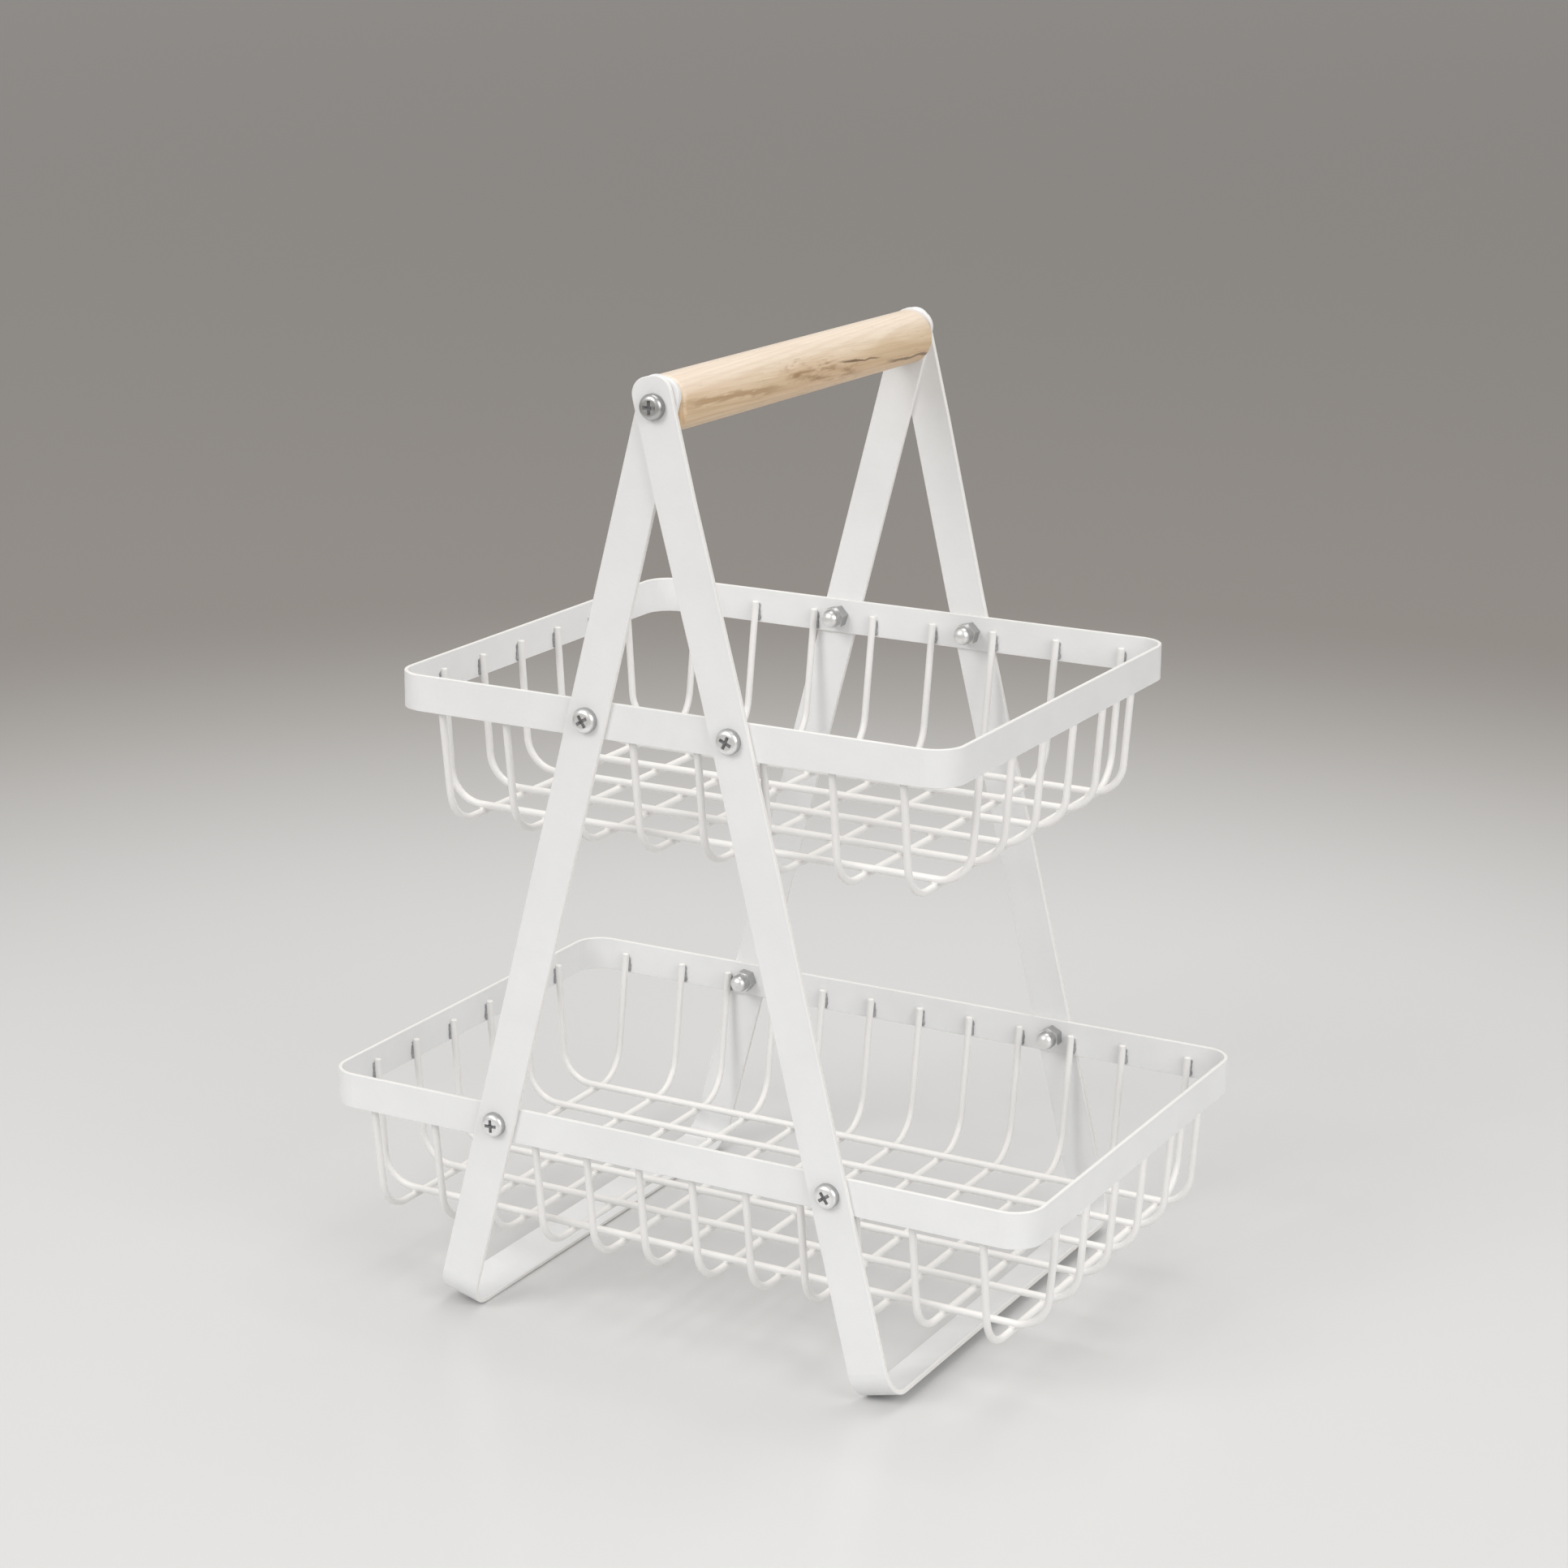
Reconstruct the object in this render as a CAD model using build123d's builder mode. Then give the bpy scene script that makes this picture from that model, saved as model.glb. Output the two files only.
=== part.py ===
from build123d import *
from math import cos, radians, sin, tan
import os

# Two-tier wire basket on an A-shaped strap frame with a wooden carrying handle.
# Millimetres. The origin is on the floor under the middle of the baskets.
# X runs along the long side of the baskets, Y along the handle, Z up.

# Frame straps
strap_width = 16.0
strap_thickness = 2.0
leg_angle = 14.27
apex_height = 361.4
foot_bend_radius = 12.0
strap_end_reach = 10.8
strap_end_radius = 6.5
strap_edge_radius = 0.4
crank_rim_gap = 8.0
crank_crossing_gap = 4.0

# Rims
rim_depth = 196.6
upper_rim_length = 232.0
lower_rim_length = 302.0
rim_corner_radius = 12.0
rim_height = 14.0
rim_thickness = 1.5
rim_edge_radius = 0.35
upper_rim_level = 244.2
lower_rim_level = 80.0

# Basket wires
wire_diameter = 2.8
wire_end_radius = 0.5
weld_bite = 0.1
weld_rise = 2.0
weld_length = 2.2
basket_drop = 52.2
cross_wire_lean = 7.4
cross_wire_bend_radius = 15.5
long_wire_lean = 3.4
long_wire_bend_radius = 13.5
end_wire_inset = 19.8
field_wire_inset = 48.0
upper_inner_count = 2
upper_inner_screw_gap = 16.3
upper_outer_screw_gap = 10.7
lower_inner_count = 6
lower_inner_screw_gap = 14.4
lower_outer_screw_gap = 8.6
long_wire_inset = 30.8
long_wire_count = 6

# Screws and cap nuts
screw_diameter = 5.0
hole_clearance = 0.15
head_diameter = 9.5
head_height = 3.2
head_round_radius = 2.1
recess_length = 5.0
recess_width = 1.25
recess_depth = 2.1
recess_taper = 8.0
upper_recess_turns = (33.0, 66.0, 12.0, 75.0)
lower_recess_turns = (3.0, 35.0, 51.0, 33.0)
handle_recess_turns = (2.0, 15.0)
screw_tip_chamfer = 0.6
thread_clearance = 0.05
nut_engagement = 5.5
nut_bore_depth = 7.0
nut_across_flats = 8.0
nut_hex_height = 4.5
nut_height = 10.0
nut_dome_diameter = 7.4
nut_dome_round_radius = 3.2

# Handle
grip_diameter = 21.0
grip_edge_radius = 2.8
grip_end_play = 0.25
running_clearance = 0.08
grip_screw_length = 28.0
pilot_overrun = 3.0

# Cuts run past the faces that they leave by this much
cut_overrun = 1.0

# Directions and faces that several pieces share
lean = radians(leg_angle)
rim_face = rim_depth / 2
rim_inner_face = rim_face - rim_thickness
strap_face = rim_face + strap_thickness
outer_strap_face = strap_face + strap_thickness
foot_edge_lift = strap_edge_radius * (cos(lean) + sin(lean) - 1)
foot_reach = (apex_height - strap_width / 2 * sin(lean) + foot_edge_lift) / cos(lean)
crossing_reach = strap_width / 2 / tan(lean)
hole_radius = screw_diameter / 2 + hole_clearance
running_radius = screw_diameter / 2 + running_clearance


def leg_place(level):
    """Distance of a leg's centre line from the middle plane at a height."""
    return (apex_height - level) * tan(lean)


upper_screw_place = leg_place(upper_rim_level)
lower_screw_place = leg_place(lower_rim_level)

os.makedirs("parts", exist_ok=True)


def finish(block, name):
    """Labels a finished piece and writes it under its own name."""
    block.part.label = name
    export_step(block.part, f"parts/{name}.step")


# Straps. Each is one flat bar bent into a U: two legs joined under the lower basket by a foot bar.
def strap_outline(crank):
    """Outline of a strap's edge, across Y and along the leg, with zero at the handle's axis."""
    foot = -foot_reach
    crank_high = -(crossing_reach + crank_crossing_gap)
    crank_low = -(apex_height - upper_rim_level - rim_height / 2 - crank_rim_gap) / cos(lean)
    outer = [
        (-strap_face - crank, strap_end_reach),
        (-strap_face - crank, crank_high),
        (-strap_face, crank_low),
        (-strap_face, foot),
        (strap_face, foot),
        (strap_face, crank_low),
        (strap_face + crank, crank_high),
        (strap_face + crank, strap_end_reach),
    ]
    inner = [
        (rim_face + crank, strap_end_reach),
        (rim_face + crank, crank_high),
        (rim_face, crank_low),
        (rim_face, foot + strap_thickness),
        (-rim_face, foot + strap_thickness),
        (-rim_face, crank_low),
        (-rim_face - crank, crank_high),
        (-rim_face - crank, strap_end_reach),
    ]
    if crank == 0:
        outer = [outer[0], outer[3], outer[4], outer[7]]
        inner = [inner[0], inner[3], inner[4], inner[7]]
    return outer + inner


def build_strap(name, side, crank):
    """One strap. Side is -1 for the leg pair that stands to the left, 1 for the right."""
    across = (cos(lean), 0, side * sin(lean))
    leg_plane = Plane(origin=(0, 0, apex_height), x_dir=(0, 1, 0), z_dir=across)
    with BuildPart() as strap:
        with BuildSketch(leg_plane):
            with BuildLine():
                Polyline(*strap_outline(crank), close=True)
            make_face()
            fillet(vertices().group_by(Axis.Y)[0], foot_bend_radius)
            fillet(vertices().group_by(Axis.Y)[1], foot_bend_radius - strap_thickness)
        extrude(amount=strap_width / 2, both=True)
        end_corners = strap.edges().filter_by(Axis.Y).sort_by(Axis.Z)[-4:]
        fillet(end_corners, strap_end_radius)
        flanks = strap.faces().filter_by(Plane(origin=(0, 0, 0), z_dir=across)).edges()
        fillet(flanks, strap_edge_radius)
        upper_hole = (side * upper_screw_place, upper_rim_level)
        lower_hole = (side * lower_screw_place, lower_rim_level)
        with BuildSketch(Plane.XZ):
            with Locations(upper_hole, lower_hole):
                Circle(hole_radius)
            with Locations((0, apex_height)):
                Circle(running_radius)
        extrude(amount=outer_strap_face + cut_overrun, both=True, mode=Mode.SUBTRACT)
    finish(strap, name)


build_strap("left_strap", -1, 0)
build_strap("right_strap", 1, strap_thickness)


# Rims. A flat band on edge, closed into a rounded rectangle, with two screw holes in each long side.
def build_rim(name, length, level, screw_place):
    """One rim band around its mid-height."""
    with BuildPart() as rim:
        with BuildSketch(Plane.XY.offset(level - rim_height / 2)):
            RectangleRounded(length, rim_depth, rim_corner_radius)
            RectangleRounded(
                length - 2 * rim_thickness,
                rim_depth - 2 * rim_thickness,
                rim_corner_radius - rim_thickness,
                mode=Mode.SUBTRACT,
            )
        extrude(amount=rim_height)
        lips = rim.faces().filter_by(Axis.Z).edges()
        fillet(lips, rim_edge_radius)
        with BuildSketch(Plane.XZ):
            with Locations((-screw_place, level), (screw_place, level)):
                Circle(hole_radius)
        extrude(amount=rim_face + cut_overrun, both=True, mode=Mode.SUBTRACT)
    finish(rim, name)


build_rim("upper_rim", upper_rim_length, upper_rim_level, upper_screw_place)
build_rim("lower_rim", lower_rim_length, lower_rim_level, lower_screw_place)


# Wires. Each hangs from both inner faces of its rim as a shallow U and is welded there by its ends.
def build_wire(name, plane, inner_face, lean_run, level, floor_level, bend_radius):
    """One wire, drawn in its own plane: across the basket and up."""
    wire_radius = wire_diameter / 2
    reach = inner_face - wire_radius + weld_bite
    top = level + weld_rise
    with BuildPart() as wire:
        with BuildLine(plane) as route:
            FilletPolyline(
                (-reach, top),
                (-reach, top - weld_length),
                (-reach + lean_run, floor_level),
                (reach - lean_run, floor_level),
                (reach, top - weld_length),
                (reach, top),
                radius=bend_radius,
            )
        with BuildSketch(Plane(origin=route.line @ 0, z_dir=route.line % 0)):
            Circle(wire_radius)
        sweep()
        tips = wire.edges().filter_by(GeomType.CIRCLE).sort_by(Axis.Z)[-2:]
        fillet(tips, wire_end_radius)
    finish(wire, name)


def spread(first, last, count):
    """Evenly spaced places from the first to the last."""
    step = (last - first) / (count - 1)
    return [first + index * step for index in range(count)]


def cross_places(length, screw_place, inner_count, inner_gap, outer_gap):
    """Places of a basket's cross wires: an even field between the rim screws, three wires beyond each."""
    inner_end = screw_place - inner_gap
    beyond = [screw_place + outer_gap, length / 2 - field_wire_inset, length / 2 - end_wire_inset]
    before = [-place for place in reversed(beyond)]
    return before + spread(-inner_end, inner_end, inner_count) + beyond


def build_basket_wires(tier, length, level, places):
    """Cross wires run front to back. Long wires lie on them and run from side to side."""
    cross_floor = level - basket_drop
    long_floor = cross_floor + wire_diameter - weld_bite
    for number, place in enumerate(places, start=1):
        build_wire(
            f"{tier}_cross_wire_{number}",
            Plane.YZ.offset(place),
            rim_inner_face,
            cross_wire_lean,
            level,
            cross_floor,
            cross_wire_bend_radius,
        )
    last_place = rim_face - long_wire_inset
    for number, place in enumerate(spread(-last_place, last_place, long_wire_count), start=1):
        build_wire(
            f"{tier}_long_wire_{number}",
            Plane.XZ.offset(-place),
            length / 2 - rim_thickness,
            long_wire_lean,
            level,
            long_floor,
            long_wire_bend_radius,
        )


upper_places = cross_places(
    upper_rim_length,
    upper_screw_place,
    upper_inner_count,
    upper_inner_screw_gap,
    upper_outer_screw_gap,
)
lower_places = cross_places(
    lower_rim_length,
    lower_screw_place,
    lower_inner_count,
    lower_inner_screw_gap,
    lower_outer_screw_gap,
)
build_basket_wires("upper", upper_rim_length, upper_rim_level, upper_places)
build_basket_wires("lower", lower_rim_length, lower_rim_level, lower_places)


# Screws. Pan heads with a cross recess stand outside the straps and point inwards.
def build_screws(name, seats, seat_face, shank_length):
    """Screws at seats of (x, z, side, turn), where side is -1 for the front and 1 for the back."""
    with BuildPart() as screws:
        for x, z, side, turn in seats:
            turned = (cos(radians(turn)), 0, sin(radians(turn)))
            seat = Plane(origin=(x, side * seat_face, z), x_dir=turned, z_dir=(0, side, 0))
            with BuildSketch(seat):
                Circle(head_diameter / 2)
            extrude(amount=head_height)
        crowns = screws.edges().filter_by(lambda edge: abs(edge.center().Y) > seat_face + head_height / 2)
        fillet(crowns.filter_by(GeomType.CIRCLE), head_round_radius)
        for x, z, side, turn in seats:
            turned = (cos(radians(turn)), 0, sin(radians(turn)))
            seat = Plane(origin=(x, side * seat_face, z), x_dir=turned, z_dir=(0, side, 0))
            with BuildSketch(seat):
                Circle(screw_diameter / 2)
            extrude(amount=-shank_length)
            with BuildSketch(seat.offset(head_height)):
                Rectangle(recess_length, recess_width)
                Rectangle(recess_width, recess_length)
            extrude(amount=-recess_depth, taper=recess_taper, mode=Mode.SUBTRACT)
        tips = screws.edges().filter_by(lambda edge: abs(edge.center().Y) < seat_face - shank_length / 2)
        chamfer(tips.filter_by(GeomType.CIRCLE), screw_tip_chamfer)
    finish(screws, name)


def rim_seats(place, level, turns):
    """The four screw places of one tier: front left, front right, back left, back right."""
    corners = [(-place, level, -1), (place, level, -1), (-place, level, 1), (place, level, 1)]
    return [(*corner, turn) for corner, turn in zip(corners, turns)]


upper_seats = rim_seats(upper_screw_place, upper_rim_level, upper_recess_turns)
lower_seats = rim_seats(lower_screw_place, lower_rim_level, lower_recess_turns)
rim_shank_length = strap_thickness + rim_thickness + nut_engagement
build_screws("upper_rim_screws", upper_seats, strap_face, rim_shank_length)
build_screws("lower_rim_screws", lower_seats, strap_face, rim_shank_length)

handle_seat_face = outer_strap_face + grip_end_play
handle_shank_length = handle_seat_face - rim_face + grip_end_play + grip_screw_length
front_turn, back_turn = handle_recess_turns
front_seats = [(0, apex_height, -1, front_turn)]
back_seats = [(0, apex_height, 1, back_turn)]
build_screws("handle_screw_front", front_seats, handle_seat_face, handle_shank_length)
build_screws("handle_screw_back", back_seats, handle_seat_face, handle_shank_length)


# Cap nuts. A hexagon seated on the rim's inner face under a closed dome, with a blind threaded bore.
def build_nuts(name, seats):
    """The cap nuts that take the screws of one tier."""
    with BuildPart() as nuts:
        for x, z, side, turn in seats:
            turned = (cos(radians(turn)), 0, sin(radians(turn)))
            seat = Plane(origin=(x, side * rim_inner_face, z), x_dir=turned, z_dir=(0, -side, 0))
            with BuildSketch(seat):
                RegularPolygon(nut_across_flats / 2, 6, major_radius=False)
            extrude(amount=nut_hex_height)
            with BuildSketch(seat):
                Circle(nut_dome_diameter / 2)
            extrude(amount=nut_height)
        dome_start = rim_inner_face - (nut_hex_height + nut_height) / 2
        domes = nuts.edges().filter_by(lambda edge: abs(edge.center().Y) < dome_start)
        fillet(domes.filter_by(GeomType.CIRCLE), nut_dome_round_radius)
        for x, z, side, turn in seats:
            seat = Plane(origin=(x, side * rim_inner_face, z), z_dir=(0, -side, 0))
            with BuildSketch(seat):
                Circle(screw_diameter / 2 + thread_clearance)
            extrude(amount=nut_bore_depth, mode=Mode.SUBTRACT)
    finish(nuts, name)


build_nuts("upper_cap_nuts", upper_seats)
build_nuts("lower_cap_nuts", lower_seats)


# Handle. A turned wooden grip between the straps, which its two end screws carry.
grip_end = rim_face - grip_end_play
with BuildPart() as handle_grip:
    with BuildSketch(Plane.XZ):
        with Locations((0, apex_height)):
            Circle(grip_diameter / 2)
    extrude(amount=grip_end, both=True)
    fillet(handle_grip.edges().filter_by(GeomType.CIRCLE), grip_edge_radius)
    for side in (-1, 1):
        with BuildSketch(Plane(origin=(0, side * grip_end, apex_height), z_dir=(0, -side, 0))):
            Circle(screw_diameter / 2 + thread_clearance)
        extrude(amount=grip_screw_length + pilot_overrun, mode=Mode.SUBTRACT)
finish(handle_grip, "handle_grip")
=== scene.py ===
import math

import bmesh
import bpy
from mathutils import Matrix, Vector


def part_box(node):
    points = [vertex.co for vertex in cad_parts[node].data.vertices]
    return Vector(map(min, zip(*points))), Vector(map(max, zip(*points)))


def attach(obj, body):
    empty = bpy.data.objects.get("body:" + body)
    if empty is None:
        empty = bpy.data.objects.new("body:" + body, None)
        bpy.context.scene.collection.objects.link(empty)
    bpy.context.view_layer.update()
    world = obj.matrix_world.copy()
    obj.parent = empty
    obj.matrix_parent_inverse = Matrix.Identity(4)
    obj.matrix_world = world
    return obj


# Everything here is in metres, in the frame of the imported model:
# X runs along the baskets, Y along the wooden grip, Z up, with the floor at zero.
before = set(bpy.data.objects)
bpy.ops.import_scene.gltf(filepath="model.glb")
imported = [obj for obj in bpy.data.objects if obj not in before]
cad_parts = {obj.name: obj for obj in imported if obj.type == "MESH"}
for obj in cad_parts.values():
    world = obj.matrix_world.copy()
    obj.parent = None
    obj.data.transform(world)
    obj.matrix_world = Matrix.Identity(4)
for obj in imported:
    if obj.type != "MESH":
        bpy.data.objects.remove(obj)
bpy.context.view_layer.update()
scene = bpy.context.scene

tiers = ("upper", "lower")
up = Vector((0.0, 0.0, 1.0))
floor_level = -0.0002
leg_lean = math.radians(14.27)
grip_axis_height = 0.3614
rim_thickness = 0.0015
screw_head_radius = 0.00475
recess_radius = 0.0026
recess_depth = 0.0024
recess_mouth = 0.0001

# The weld mound under the top of each wire
bead_drop = 0.0016
bead_half_height = 0.0013
bead_depth = 0.00045
bead_root = 0.0002
# The sheet of painted shadow in the crevice between a wire's end and its band
mark_top_gap = 0.0006
mark_foot_gap = 0.0004
mark_half_widths = (0.00165, 0.00200)
mark_rise = 0.0009
mark_root = 0.0001
# The weld lump where two wires cross
lump_half_height = 0.0008
weld_half_width_share = 0.6


# Materials
class Nodes:
    """A material's node tree with short calls for the nodes that the finishes share."""

    def __init__(self, name):
        self.material = bpy.data.materials.new(name)
        self.material.use_nodes = True
        self.tree = self.material.node_tree
        self.shader = self.tree.nodes["Principled BSDF"]
        self.place = self.add("ShaderNodeTexCoord").outputs["Object"]

    def add(self, kind, **values):
        node = self.tree.nodes.new(kind)
        for key, value in values.items():
            setattr(node, key, value)
        return node

    def link(self, source, target):
        self.tree.links.new(source, target)

    def stretched(self, scale, shift=(0.0, 0.0, 0.0), turn=(0.0, 0.0, 0.0), vector=None):
        """Object coordinates, or others, stretched, turned and then moved."""
        node = self.add("ShaderNodeMapping")
        node.inputs["Location"].default_value = shift
        node.inputs["Rotation"].default_value = turn
        node.inputs["Scale"].default_value = scale
        self.link(vector or self.place, node.inputs["Vector"])
        return node.outputs["Vector"]

    def noise(self, scale, detail=3.0, rough=0.5, vector=None, distortion=0.0):
        node = self.add("ShaderNodeTexNoise")
        node.inputs["Scale"].default_value = scale
        node.inputs["Detail"].default_value = detail
        node.inputs["Roughness"].default_value = rough
        node.inputs["Distortion"].default_value = distortion
        self.link(vector or self.place, node.inputs["Vector"])
        return node.outputs["Fac"]

    def spread(self, value, from_low, from_high, to_low=0.0, to_high=1.0, smooth=False):
        node = self.add("ShaderNodeMapRange")
        node.interpolation_type = "SMOOTHSTEP" if smooth else "LINEAR"
        self.link(value, node.inputs["Value"])
        node.inputs["From Min"].default_value = from_low
        node.inputs["From Max"].default_value = from_high
        node.inputs["To Min"].default_value = to_low
        node.inputs["To Max"].default_value = to_high
        return node.outputs["Result"]

    def math(self, operation, first, second=None):
        node = self.add("ShaderNodeMath", operation=operation)
        for socket, value in zip(node.inputs, (first, second)):
            if value is None:
                continue
            if isinstance(value, (int, float)):
                socket.default_value = value
            else:
                self.link(value, socket)
        return node.outputs[0]

    def mix(self, share, first, second, blend="MIX"):
        """A colour between two; each may be a colour or a socket, and share a number or a socket."""
        node = self.add("ShaderNodeMix", data_type="RGBA", blend_type=blend)
        for socket, value in ((node.inputs[0], share), (node.inputs[6], first), (node.inputs[7], second)):
            if isinstance(value, (int, float)):
                socket.default_value = value
            elif isinstance(value, tuple):
                socket.default_value = (*value, 1.0)
            else:
                self.link(value, socket)
        return node.outputs[2]

    def facing(self, direction):
        """How far the surface faces along a direction, either way, from 0 to 1."""
        coordinates = self.add("ShaderNodeTexCoord")
        dot = self.add("ShaderNodeVectorMath", operation="DOT_PRODUCT")
        self.link(coordinates.outputs["Normal"], dot.inputs[0])
        dot.inputs[1].default_value = direction
        return self.math("ABSOLUTE", dot.outputs["Value"])

    def bump(self, height, distance, strength=1.0, under=None):
        node = self.add("ShaderNodeBump")
        node.inputs["Strength"].default_value = strength
        node.inputs["Distance"].default_value = distance
        self.link(height, node.inputs["Height"])
        if under:
            self.link(under, node.inputs["Normal"])
        return node.outputs["Normal"]

    def use(self, colour, rough, normal):
        self.link(colour, self.shader.inputs["Base Color"])
        self.link(rough, self.shader.inputs["Roughness"])
        self.link(normal, self.shader.inputs["Normal"])
        return self.material


def powder_coat(name, tone, edge_reflection_tone, edge_direction):
    """Satin white powder coat: fine orange peel, faint clouds, and a painted warm reflection on the faces
    that look along edge_direction.
    """
    nodes = Nodes(name)
    clouds = nodes.spread(nodes.noise(26.0, 4.0, 0.6), 0.3, 0.7, smooth=True)
    specks = nodes.spread(nodes.noise(1900.0, 2.0, 0.5), 0.66, 0.8)
    shaded = tuple(0.955 * channel for channel in tone)
    colour = nodes.mix(clouds, shaded, tone)
    colour = nodes.mix(nodes.math("MULTIPLY", specks, 0.10), colour, (0.52, 0.50, 0.46))
    # Painted reflection: faces that look along edge_direction take a warmer tone.
    edge = nodes.spread(nodes.facing(edge_direction), 0.45, 0.9, smooth=True)
    colour = nodes.mix(nodes.math("MULTIPLY", edge, 0.75), colour, edge_reflection_tone)
    peel = nodes.noise(720.0, 2.0, 0.45)
    grit = nodes.noise(3600.0, 2.0, 0.5)
    normal = nodes.bump(peel, 0.00016, 0.32)
    normal = nodes.bump(grit, 0.00003, 0.35, normal)
    rough = nodes.spread(nodes.noise(85.0, 3.0, 0.6), 0.3, 0.7, 0.33, 0.44)
    nodes.shader.inputs["Specular IOR Level"].default_value = 0.5
    nodes.shader.inputs["Coat Weight"].default_value = 0.12
    nodes.shader.inputs["Coat Roughness"].default_value = 0.16
    return nodes.use(colour, rough, normal)


def recess_share(nodes):
    """How much a point lies inside the cross recess of a screw head, where painted shade keeps the plate a
    darker grey.
    """
    axes = nodes.add("ShaderNodeSeparateXYZ")
    nodes.link(nodes.place, axes.inputs[0])
    across, along, height = axes.outputs
    across = nodes.math("ABSOLUTE", across)
    along = nodes.math("ABSOLUTE", along)
    soft_edge, soft_mouth, soft_floor = 0.00005, 0.0006, 0.0001
    share = 0.0
    for name in ("upper_rim_screws", "lower_rim_screws", "handle_screw_back"):
        low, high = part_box(name)
        aside = nodes.math("SUBTRACT", across, high.x - screw_head_radius)
        above = nodes.math("SUBTRACT", height, (low.z + high.z) / 2)
        squares = nodes.math("MULTIPLY", aside, aside)
        squares = nodes.math("ADD", squares, nodes.math("MULTIPLY", above, above))
        near = nodes.spread(nodes.math("SQRT", squares), recess_radius - soft_edge, recess_radius, 1.0, 0.0)
        mouth = high.y - recess_mouth
        bottom = high.y - recess_depth
        below = nodes.spread(along, mouth - soft_mouth, mouth, 1.0, 0.0)
        outside = nodes.spread(along, bottom - soft_floor, bottom)
        inside = nodes.math("MULTIPLY", near, nodes.math("MULTIPLY", below, outside))
        share = nodes.math("MAXIMUM", inside, share)
    return share


def plated_steel(name, brightness):
    """Zinc plate: cool and pale with random duller spots and fine tumbling scratches, painted shade and dark
    reflection on the sides of heads and nuts, and painted shade in the cross recesses; brightness scales its
    colours for a darker copy.
    """
    nodes = Nodes(name)
    bloom = nodes.spread(nodes.noise(420.0, 3.0, 0.6), 0.35, 0.7, smooth=True)
    cool = tuple(brightness * channel for channel in (0.89, 0.895, 0.90))
    pale = tuple(brightness * channel for channel in (0.93, 0.925, 0.91))
    colour = nodes.mix(bloom, cool, pale)
    dull = nodes.spread(nodes.noise(2100.0, 3.0, 0.7), 0.55, 0.8)
    colour = nodes.mix(nodes.math("MULTIPLY", dull, 0.14), colour, (0.52, 0.52, 0.53))
    # Painted shade and dark reflection on the sides of heads and nuts, which face across the screw axis.
    flank_shade = nodes.spread(nodes.facing((0.0, 1.0, 0.0)), 0.25, 0.8, 1.0, 0.0, smooth=True)
    colour = nodes.mix(nodes.math("MULTIPLY", flank_shade, 0.66), colour, (0.25, 0.25, 0.255))
    # Painted shade in the cross recesses: a darker grey that is barely metallic.
    recess_shade = recess_share(nodes)
    colour = nodes.mix(recess_shade, colour, (0.48, 0.48, 0.49))
    scratches = nodes.noise(1.0, 4.0, 0.7, nodes.stretched((5200.0, 900.0, 1500.0)))
    normal = nodes.bump(scratches, 0.000012, 0.25)
    rough = nodes.spread(nodes.noise(800.0, 3.0, 0.6), 0.3, 0.75, 0.32, 0.42)
    nodes.link(nodes.spread(recess_shade, 0.0, 1.0, 1.0, 0.1), nodes.shader.inputs["Metallic"])
    return nodes.use(colour, rough, normal)


def painted_crevice_shadow(name):
    """Painted shadow for the crevice behind a wire: dark grey in random patches, rough and grainy."""
    nodes = Nodes(name)
    patches = nodes.spread(nodes.noise(900.0, 3.0, 0.6), 0.35, 0.7, smooth=True)
    colour = nodes.mix(patches, (0.30, 0.30, 0.31), (0.44, 0.44, 0.45))
    grains = nodes.noise(4200.0, 2.0, 0.6)
    rough = nodes.spread(grains, 0.3, 0.7, 0.45, 0.7)
    normal = nodes.bump(grains, 0.00004, 0.4)
    return nodes.use(colour, rough, normal)


def grain_line(nodes, along, height, wander, reach, middle_height, slope, half_width):
    """How much a point lies on one wandering line of the grain, which runs between two places along Y."""
    first, last = reach
    middle = (first + last) / 2
    run = nodes.math("MULTIPLY", nodes.math("SUBTRACT", along, middle), slope)
    line = nodes.math("ADD", nodes.math("ADD", run, middle_height), wander)
    gap = nodes.math("ABSOLUTE", nodes.math("SUBTRACT", height, line))
    ragged = nodes.noise(1.0, 3.0, 0.6, nodes.stretched((900.0, 90.0, 900.0), (5.0 * middle, 0.0, 0.0)))
    width = nodes.spread(ragged, 0.35, 0.65, 0.35 * half_width, 1.35 * half_width)
    inside = nodes.spread(nodes.math("DIVIDE", gap, width), 0.6, 1.6, 1.0, 0.0)
    fade = 0.25 * (last - first)
    begun = nodes.spread(along, first, first + fade, smooth=True)
    lasting = nodes.spread(along, last - fade, last, 1.0, 0.0, smooth=True)
    return nodes.math("MULTIPLY", inside, nodes.math("MULTIPLY", begun, lasting))


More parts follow.
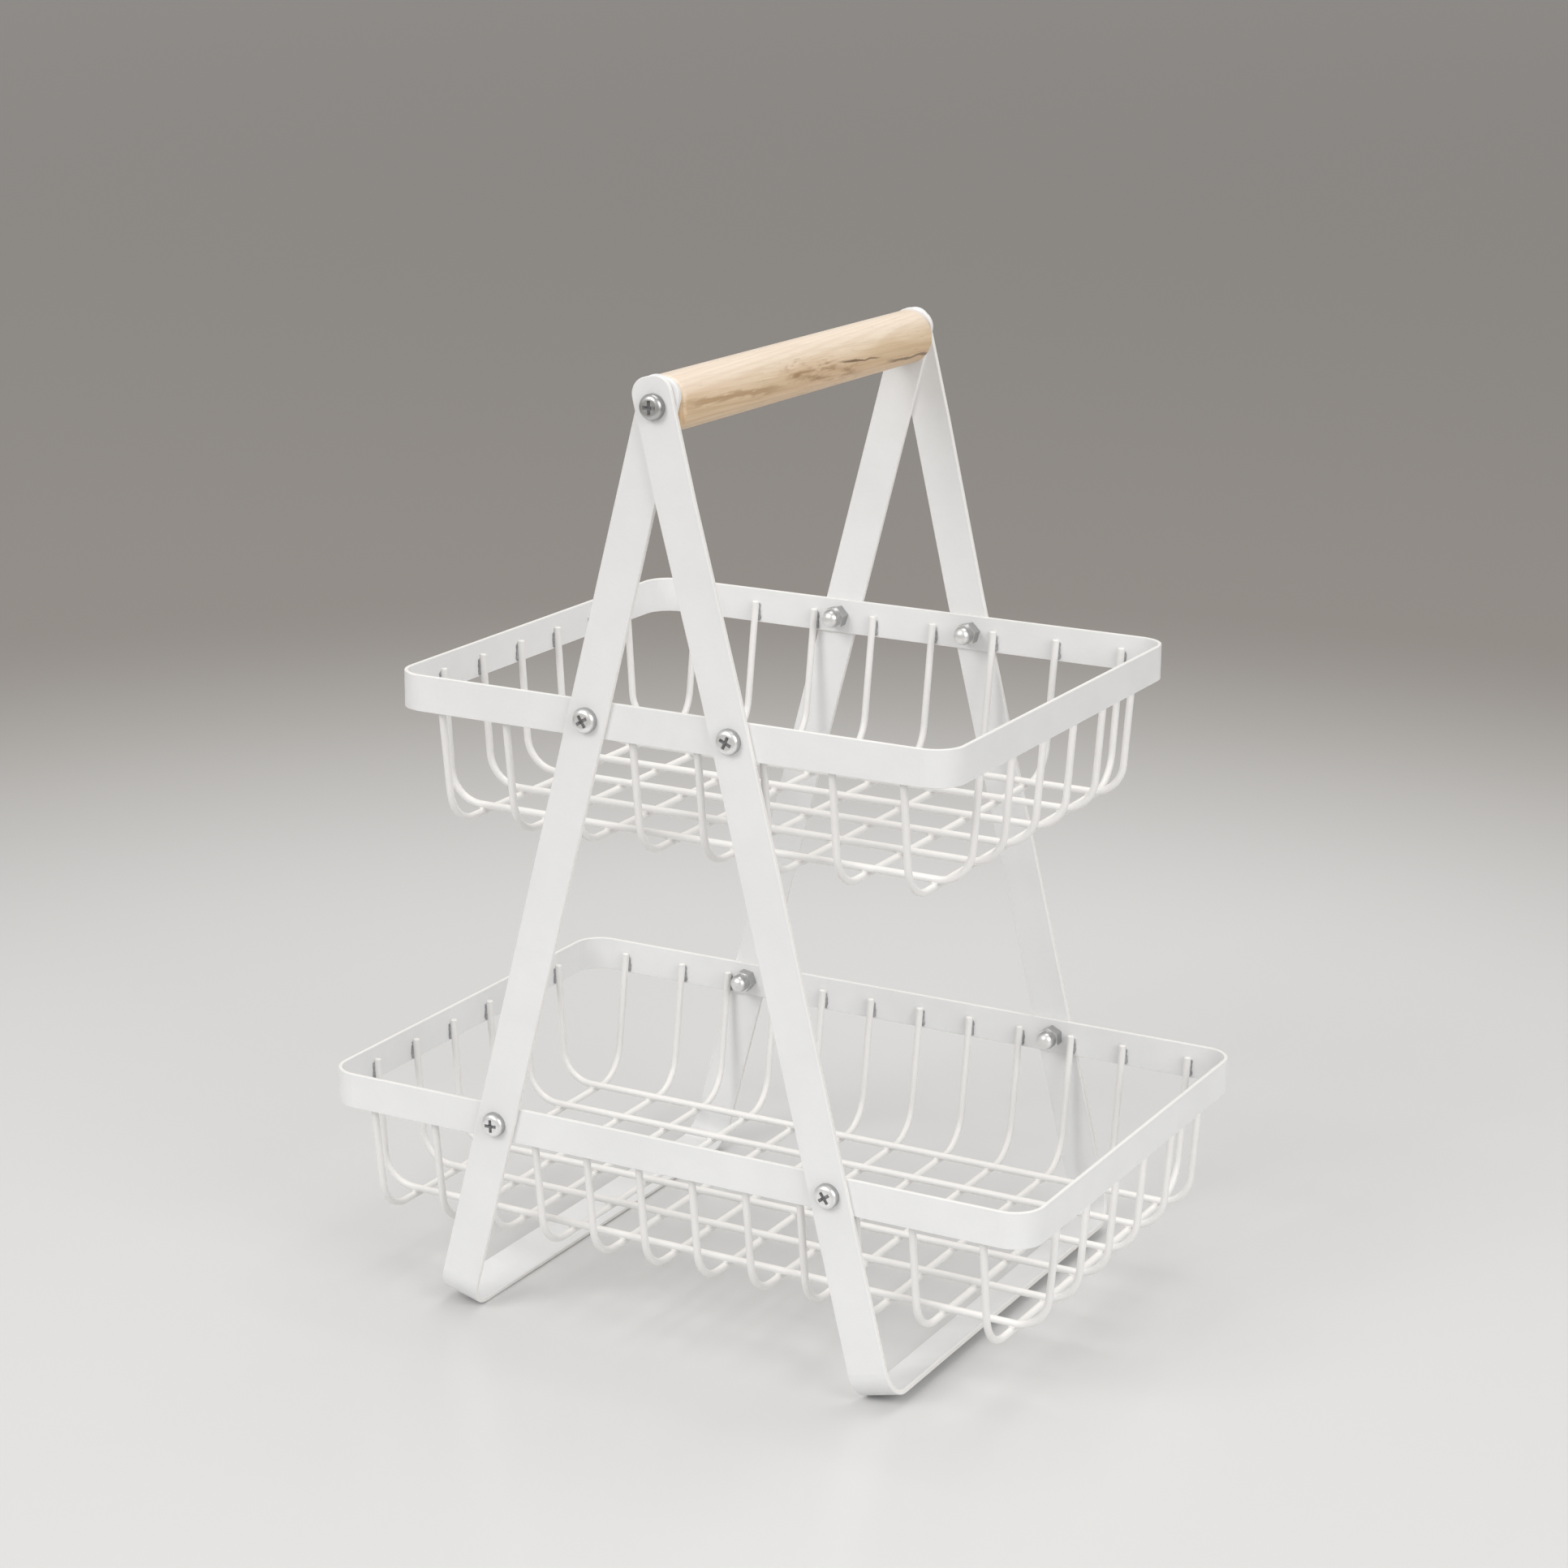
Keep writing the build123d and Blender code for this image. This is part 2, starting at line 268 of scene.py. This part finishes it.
def grain_colour(nodes, grain, fibre, pores):
    """The wood's own colour: growth rings that run out along the grip, broad tints, fibres and pores."""
    ring_place = nodes.stretched((1.0, 0.04, 1.0), (0.029, 0.0, 0.006 - grip_axis_height), vector=grain)
    rings = nodes.add("ShaderNodeTexWave", wave_type="RINGS", rings_direction="Y")
    rings.inputs["Scale"].default_value = 250.0
    rings.inputs["Distortion"].default_value = 2.6
    rings.inputs["Detail"].default_value = 2.5
    rings.inputs["Detail Scale"].default_value = 1.1
    nodes.link(ring_place, rings.inputs["Vector"])
    bands = nodes.spread(rings.outputs["Fac"], 0.35, 0.98, smooth=True)
    thread = nodes.noise(1.0, 3.0, 0.6, nodes.stretched((620.0, 9.0, 620.0), (3.1, 0.4, 0.0), vector=grain))
    broad = nodes.noise(1.0, 3.0, 0.6, nodes.stretched((120.0, 9.0, 120.0), vector=grain))
    blush = nodes.noise(1.0, 2.0, 0.5, nodes.stretched((60.0, 14.0, 60.0), (1.7, 0.0, 0.0), vector=grain))
    colour = nodes.mix(nodes.math("MULTIPLY", bands, 0.42), (0.86, 0.715, 0.535), (0.67, 0.485, 0.295))
    tint = nodes.spread(broad, 0.42, 0.74, smooth=True)
    colour = nodes.mix(nodes.math("MULTIPLY", tint, 0.45), colour, (0.60, 0.42, 0.24))
    pink = nodes.spread(blush, 0.45, 0.72, smooth=True)
    colour = nodes.mix(nodes.math("MULTIPLY", pink, 0.4), colour, (0.85, 0.66, 0.50))
    lines = nodes.spread(fibre, 0.5, 0.76)
    colour = nodes.mix(nodes.math("MULTIPLY", lines, 0.36), colour, (0.50, 0.34, 0.19))
    cords = nodes.spread(thread, 0.56, 0.7)
    colour = nodes.mix(nodes.math("MULTIPLY", cords, 0.30), colour, (0.54, 0.37, 0.205))
    return nodes.mix(nodes.math("MULTIPLY", pores, 0.5), colour, (0.34, 0.22, 0.12))


def toned_by_height(nodes, colour, height):
    """Painted highlight and shade: the wood paler along the top, and browner from the middle of its height
    downwards.
    """
    # Painted shade: browner on the underside.
    lower = nodes.spread(height, grip_axis_height - 0.007, grip_axis_height + 0.007, 1.0, 0.0, smooth=True)
    browner = nodes.mix(1.0, colour, (0.86, 0.755, 0.62), "MULTIPLY")
    colour = nodes.mix(lower, colour, browner)
    # Painted highlight: paler along the top.
    upper = nodes.spread(height, grip_axis_height + 0.002, grip_axis_height + 0.009, smooth=True)
    return nodes.mix(nodes.math("MULTIPLY", upper, 0.40), colour, (0.83, 0.755, 0.70))


def with_dark_lines(nodes, colour, across, along, height):
    """Darker lines on the side that faces right, sloping down towards the back with the grain."""
    right_side = nodes.spread(across, 0.001, 0.005)
    drift = nodes.noise(1.0, 3.0, 0.6, nodes.stretched((1.0, 55.0, 1.0)))
    wander = nodes.spread(drift, 0.2, 0.8, -0.0009, 0.0009)
    knot_places = nodes.stretched((420.0, 90.0, 420.0), (0.0, 2.0, 0.0))
    knots = nodes.spread(nodes.noise(1.0, 3.0, 0.6, knot_places), 0.44, 0.66)
    brown = grain_line(nodes, along, height, wander, (-0.108, -0.018), 0.3605, -0.055, 0.0012)
    browned = nodes.math("MULTIPLY", nodes.math("MULTIPLY", brown, right_side), 0.62)
    colour = nodes.mix(browned, colour, (0.40, 0.235, 0.10))
    cloud = grain_line(nodes, along, height, wander, (-0.035, 0.045), 0.3600, -0.12, 0.0034)
    clouded = nodes.math("MULTIPLY", nodes.math("MULTIPLY", cloud, right_side), 0.9)
    clouded = nodes.math("MULTIPLY", clouded, knots)
    colour = nodes.mix(clouded, colour, (0.38, 0.23, 0.105))
    for reach, middle_height, slope, half_width in (
        ((0.014, 0.054), 0.36085, -0.058, 0.00042),
        ((0.056, 0.106), 0.35585, -0.050, 0.00052),
    ):
        dark = grain_line(nodes, along, height, wander, reach, middle_height, slope, half_width)
        darkened = nodes.math("MULTIPLY", nodes.math("MULTIPLY", dark, right_side), 0.85)
        colour = nodes.mix(darkened, colour, (0.16, 0.09, 0.04))
    return colour


def grip_wood(name):
    """Pale lacquered wood turned along Y, with its grain a little askew to the grip."""
    nodes = Nodes(name)
    grain = nodes.stretched((1.0, 1.0, 1.0), turn=(0.050, 0.0, -0.008))
    fibre = nodes.noise(1.0, 4.0, 0.65, nodes.stretched((1500.0, 24.0, 1500.0), vector=grain))
    pore_places = nodes.stretched((2600.0, 130.0, 2600.0), vector=grain)
    pores = nodes.spread(nodes.noise(1.0, 2.0, 0.5, pore_places), 0.68, 0.76)
    axes = nodes.add("ShaderNodeSeparateXYZ")
    nodes.link(nodes.place, axes.inputs[0])
    across, along, height = axes.outputs
    colour = grain_colour(nodes, grain, fibre, pores)
    colour = toned_by_height(nodes, colour, height)
    colour = with_dark_lines(nodes, colour, across, along, height)
    rough = nodes.spread(fibre, 0.3, 0.75, 0.36, 0.52)
    normal = nodes.bump(fibre, 0.00010, 0.25)
    normal = nodes.bump(pores, -0.0001, 0.5, normal)
    nodes.shader.inputs["Specular IOR Level"].default_value = 0.4
    nodes.shader.inputs["Coat Weight"].default_value = 0.25
    nodes.shader.inputs["Coat Roughness"].default_value = 0.34
    return nodes.use(colour, rough, normal)


white = (0.845, 0.85, 0.855)
# Painted reflection: the warm tone that strap flanks and the tops of rims and wires take from warm
# surroundings.
warm_reflection = (0.87, 0.85, 0.82)
left_edges = (math.cos(leg_lean), 0.0, -math.sin(leg_lean))
right_edges = (math.cos(leg_lean), 0.0, math.sin(leg_lean))
left_coat = powder_coat("powder_coat_left_strap", white, warm_reflection, left_edges)
right_coat = powder_coat("powder_coat_right_strap", white, warm_reflection, right_edges)
rim_coat = powder_coat("powder_coat_rims", white, warm_reflection, up)
wire_coat = powder_coat("powder_coat_wires", (0.855, 0.848, 0.838), warm_reflection, up)
# Dark grey sheets of painted shadow for the crevices behind the wire ends.
crevice = painted_crevice_shadow("painted_crevice_shadows")
steel = plated_steel("bright_zinc", 1.0)
# A darker copy of the zinc for the handle screws: painted dark reflection and shade.
shaded_steel = plated_steel("shaded_zinc", 0.62)
wood = grip_wood("pale_wood")


def dress(name, material):
    """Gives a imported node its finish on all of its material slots."""
    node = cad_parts[name]
    if not node.data.materials:
        node.data.materials.append(material)
    for index in range(len(node.data.materials)):
        node.data.materials[index] = material


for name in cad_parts:
    if "wire" in name:
        dress(name, wire_coat)
    elif "rim_screws" in name or "cap_nuts" in name:
        dress(name, steel)
    elif "handle_screw" in name:
        dress(name, shaded_steel)
    elif name == "handle_grip":
        dress(name, wood)
    elif name == "left_strap":
        dress(name, left_coat)
    elif name == "right_strap":
        dress(name, right_coat)
    else:
        dress(name, rim_coat)


# Welds
def add_puddle(mesh, middle, out, half_width, seed):
    """A low uneven mound on an upright surface at middle that faces out. Its flat back lies inside."""
    side = up.cross(out)
    turns, rings = 20, 6
    rows = []
    for ring in range(rings):
        rise = ring / rings * math.pi / 2
        row = []
        for turn in range(turns):
            angle = turn / turns * 2 * math.pi
            lump = 1 + 0.09 * math.sin(3 * angle + seed) + 0.05 * math.sin(5 * angle + 2.3 * seed)
            reach = math.cos(rise) * lump
            point = (
                middle
                + side * (half_width * reach * math.cos(angle))
                + up * (bead_half_height * reach * math.sin(angle))
                + out * (bead_depth * math.sin(rise) * (1 + 0.06 * math.sin(2 * angle + seed)))
            )
            row.append(mesh.verts.new(point))
        rows.append(row)
    back = [mesh.verts.new(vertex.co - out * bead_root) for vertex in rows[0]]
    crown = mesh.verts.new(middle + out * bead_depth)
    for row, following in zip([back] + rows[:-1], rows):
        for turn in range(turns):
            after = (turn + 1) % turns
            mesh.faces.new((row[turn], row[after], following[after], following[turn]))
    for turn in range(turns):
        mesh.faces.new((rows[-1][turn], rows[-1][(turn + 1) % turns], crown))
    mesh.faces.new(list(reversed(back)))


def add_lump(mesh, middle, half_width, seed):
    """A small closed lump where two wires are welded, a little uneven all round."""
    turns, rings = 16, 8
    rows = []
    for ring in range(1, rings):
        tilt = math.pi * ring / rings - math.pi / 2
        row = []
        for turn in range(turns):
            angle = turn / turns * 2 * math.pi
            wave = 1 + 0.07 * math.sin(4 * angle + seed) + 0.05 * math.sin(3 * angle + 1.7 * seed + tilt)
            reach = half_width * math.cos(tilt) * wave
            rise = lump_half_height * math.sin(tilt)
            offset = Vector((reach * math.cos(angle), reach * math.sin(angle), rise))
            row.append(mesh.verts.new(middle + offset))
        rows.append(row)
    low = mesh.verts.new(middle - up * lump_half_height)
    high = mesh.verts.new(middle + up * lump_half_height)
    for row, following in zip(rows[:-1], rows[1:]):
        for turn in range(turns):
            after = (turn + 1) % turns
            mesh.faces.new((row[turn], row[after], following[after], following[turn]))
    for turn in range(turns):
        after = (turn + 1) % turns
        mesh.faces.new((rows[0][after], rows[0][turn], low))
        mesh.faces.new((rows[-1][turn], rows[-1][after], high))


def add_mark(mesh, top, out, length, seed):
    """An upright sheet of painted crevice shadow, from top downwards, that rises to the wire from uneven
    sides.
    """
    top_half, foot_half = mark_half_widths
    side = up.cross(out)
    rows = []
    count = 18
    for number in range(count + 1):
        share = number / count
        rounding = math.sqrt(max(0.0, 1 - (2 * share - 1) ** 8))
        rounding = max(rounding, 0.12)
        half = (top_half + (foot_half - top_half) * share) * rounding
        left = half * (1 + 0.08 * math.sin(9 * share + seed) + 0.05 * math.sin(23 * share + 2 * seed))
        right = half * (1 + 0.08 * math.sin(8 * share + 1.9 * seed) + 0.05 * math.sin(21 * share + seed))
        level = top - up * (length * share)
        high = mark_rise * rounding
        profile = ((-left, -mark_root), (-0.62 * left, high), (0.62 * right, high), (right, -mark_root))
        row = [mesh.verts.new(level + side * offset + out * depth) for offset, depth in profile]
        rows.append(row)
    for row, following in zip(rows[:-1], rows[1:]):
        for corner in range(4):
            after = (corner + 1) % 4
            mesh.faces.new((row[corner], row[after], following[after], following[corner]))
    mesh.faces.new(rows[0])
    mesh.faces.new(list(reversed(rows[-1])))


def make_piece(name, mesh, material, body):
    """Turns a finished bmesh into a smooth object that rides on a body."""
    bmesh.ops.recalc_face_normals(mesh, faces=mesh.faces)
    data = bpy.data.meshes.new(name)
    mesh.to_mesh(data)
    mesh.free()
    for polygon in data.polygons:
        polygon.use_smooth = True
    data.materials.append(material)
    piece = bpy.data.objects.new(name, data)
    scene.collection.objects.link(piece)
    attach(piece, body)
    return piece


def wires(tier, kind):
    """The boxes of a basket's wires of one kind, in order."""
    start = f"{tier}_{kind}_wire_"
    names = [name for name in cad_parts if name.startswith(start)]
    names.sort(key=lambda name: int(name[len(start):]))
    return [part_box(name) for name in names]


def wire_ends(tier, rim_high):
    """Where each wire of a basket meets the inner face of its band, with the way that face looks."""
    inner = rim_high - Vector((rim_thickness, rim_thickness, 0.0))
    ends = []
    for low, high in wires(tier, "cross"):
        for side in (-1, 1):
            ends.append((Vector(((low.x + high.x) / 2, side * inner.y, high.z)), Vector((0, -side, 0))))
    for low, high in wires(tier, "long"):
        for side in (-1, 1):
            ends.append((Vector((side * inner.x, (low.y + high.y) / 2, high.z)), Vector((-side, 0, 0))))
    return ends


def build_end_welds(tier, weld_half_width):
    """The weld mounds and the sheets of painted crevice shadow along a basket's band."""
    rim_low, rim_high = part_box(f"{tier}_rim")
    beads = bmesh.new()
    marks = bmesh.new()
    for number, (end, out) in enumerate(wire_ends(tier, rim_high)):
        seed = 1.3 * number
        add_puddle(beads, end - up * bead_drop, out, weld_half_width, seed)
        mark_length = end.z - mark_top_gap - (rim_low.z + mark_foot_gap)
        add_mark(marks, end - up * mark_top_gap, out, mark_length, seed)
    make_piece(f"{tier}_rim_welds", beads, rim_coat, "frame")
    make_piece(f"{tier}_crevice_shadow_marks", marks, crevice, "frame")


def build_crossing_welds(tier, wire_diameter, weld_half_width):
    """A weld lump at every place where two wires of a basket cross."""
    lumps = bmesh.new()
    seed = 0.0
    for cross_low, cross_high in wires(tier, "cross"):
        for long_low, long_high in wires(tier, "long"):
            seed += 0.7
            across = (cross_low.x + cross_high.x) / 2
            along = (long_low.y + long_high.y) / 2
            height = (cross_low.z + wire_diameter + long_low.z) / 2
            add_lump(lumps, Vector((across, along, height)), weld_half_width, seed)
    make_piece(f"{tier}_crossing_welds", lumps, wire_coat, "frame")


for tier in tiers:
    wire_low, wire_high = wires(tier, "cross")[0]
    wire_diameter = wire_high.x - wire_low.x
    weld_half_width = weld_half_width_share * wire_diameter
    build_end_welds(tier, weld_half_width)
    build_crossing_welds(tier, wire_diameter, weld_half_width)


# Floor, light and camera
def make_floor():
    """A broad plain floor, pale near the object, a little deeper behind it, and pale again at its rim."""
    mesh = bmesh.new()
    turns = 96
    rows = []
    for radius in (0.3, 0.6, 1.0, 1.6, 2.6, 4.5, 8.0, 16.0, 40.0):
        row = []
        for turn in range(turns):
            angle = turn / turns * 2 * math.pi
            row.append(mesh.verts.new((radius * math.cos(angle), radius * math.sin(angle), floor_level)))
        rows.append(row)
    centre = mesh.verts.new((0.0, 0.0, floor_level))
    for turn in range(turns):
        mesh.faces.new((centre, rows[0][turn], rows[0][(turn + 1) % turns]))
    for row, following in zip(rows[:-1], rows[1:]):
        for turn in range(turns):
            after = (turn + 1) % turns
            mesh.faces.new((row[turn], following[turn], following[after], row[after]))
    data = bpy.data.meshes.new("floor")
    mesh.to_mesh(data)
    mesh.free()
    floor = bpy.data.objects.new("floor", data)
    scene.collection.objects.link(floor)

    nodes = Nodes("pale_floor")
    length = nodes.add("ShaderNodeVectorMath", operation="LENGTH")
    nodes.link(nodes.place, length.inputs[0])
    far = nodes.spread(length.outputs["Value"], 0.42, 1.25, smooth=True)
    colour = nodes.mix(far, (0.68, 0.68, 0.68), (0.26, 0.235, 0.21))
    rim = nodes.spread(length.outputs["Value"], 10.0, 36.0)
    colour = nodes.mix(rim, colour, (0.80, 0.79, 0.77))
    nodes.link(colour, nodes.shader.inputs["Base Color"])
    nodes.shader.inputs["Roughness"].default_value = 0.27
    nodes.shader.inputs["Specular IOR Level"].default_value = 0.4
    data.materials.append(nodes.material)


def area_light(name, place, aim, size, power, tint):
    """A square soft box at place, pointed at aim."""
    lamp = bpy.data.lights.new(name, "AREA")
    lamp.shape = "SQUARE"
    lamp.size = size
    lamp.energy = power
    lamp.color = tint
    light = bpy.data.objects.new(name, lamp)
    light.location = place
    light.rotation_mode = "QUATERNION"
    light.rotation_quaternion = (Vector(aim) - Vector(place)).to_track_quat("-Z", "Y")
    scene.collection.objects.link(light)


def make_world():
    """Soft light from everywhere, a little brighter from the upper front."""
    world = bpy.data.worlds.new("studio")
    scene.world = world
    world.use_nodes = True
    tree = world.node_tree
    coordinates = tree.nodes.new("ShaderNodeTexCoord")
    dot = tree.nodes.new("ShaderNodeVectorMath")
    dot.operation = "DOT_PRODUCT"
    dot.inputs[1].default_value = Vector((-0.15, -0.70, 0.70)).normalized()
    tree.links.new(coordinates.outputs["Generated"], dot.inputs[0])
    shares = tree.nodes.new("ShaderNodeMapRange")
    shares.inputs["From Min"].default_value = -0.7
    shares.inputs["From Max"].default_value = 0.9
    shares.inputs["To Min"].default_value = 0.40
    shares.inputs["To Max"].default_value = 0.62
    tree.links.new(dot.outputs["Value"], shares.inputs["Value"])
    background = tree.nodes["Background"]
    background.inputs["Color"].default_value = (1.0, 0.985, 0.965, 1.0)
    tree.links.new(shares.outputs["Result"], background.inputs["Strength"])


def make_camera():
    """The photograph's own view: where it stood, its turn, tilt and roll, and its focal length in pixels."""
    place = Vector((0.6169196, -1.1455818, 0.5637714))
    focal_length, photo_width = 4314.4971, 1932
    yaw, pitch, roll = (math.radians(angle) for angle in (28.3877, -15.6157, 0.5473))
    ahead = Vector((-math.sin(yaw) * math.cos(pitch), math.cos(yaw) * math.cos(pitch), math.sin(pitch)))
    level_right = Vector((math.cos(yaw), math.sin(yaw), 0.0))
    level_up = level_right.cross(ahead)
    right = math.cos(roll) * level_right + math.sin(roll) * level_up
    above = -math.sin(roll) * level_right + math.cos(roll) * level_up
    data = bpy.data.cameras.new("camera")
    data.sensor_width = 36.0
    data.sensor_fit = "HORIZONTAL"
    data.lens = focal_length / photo_width * data.sensor_width
    data.clip_start = 0.05
    data.clip_end = 100.0
    camera = bpy.data.objects.new("camera", data)
    camera.matrix_world = Matrix(
        (
            (right.x, above.x, -ahead.x, place.x),
            (right.y, above.y, -ahead.y, place.y),
            (right.z, above.z, -ahead.z, place.z),
            (0.0, 0.0, 0.0, 1.0),
        )
    )
    scene.collection.objects.link(camera)
    scene.camera = camera


make_floor()
make_world()
make_camera()
area_light("key", (-0.9, -2.2, 1.9), (0.0, 0.0, 0.18), 1.3, 30.0, (1.0, 0.99, 0.975))
area_light("fill", (2.3, -0.9, 1.4), (0.0, 0.0, 0.18), 1.6, 27.0, (1.0, 0.995, 0.99))
area_light("top", (0.1, 0.5, 2.3), (0.0, 0.0, 0.2), 1.2, 16.0, (1.0, 0.985, 0.965))
scene.view_settings.view_transform = "Standard"
scene.view_settings.look = "None"
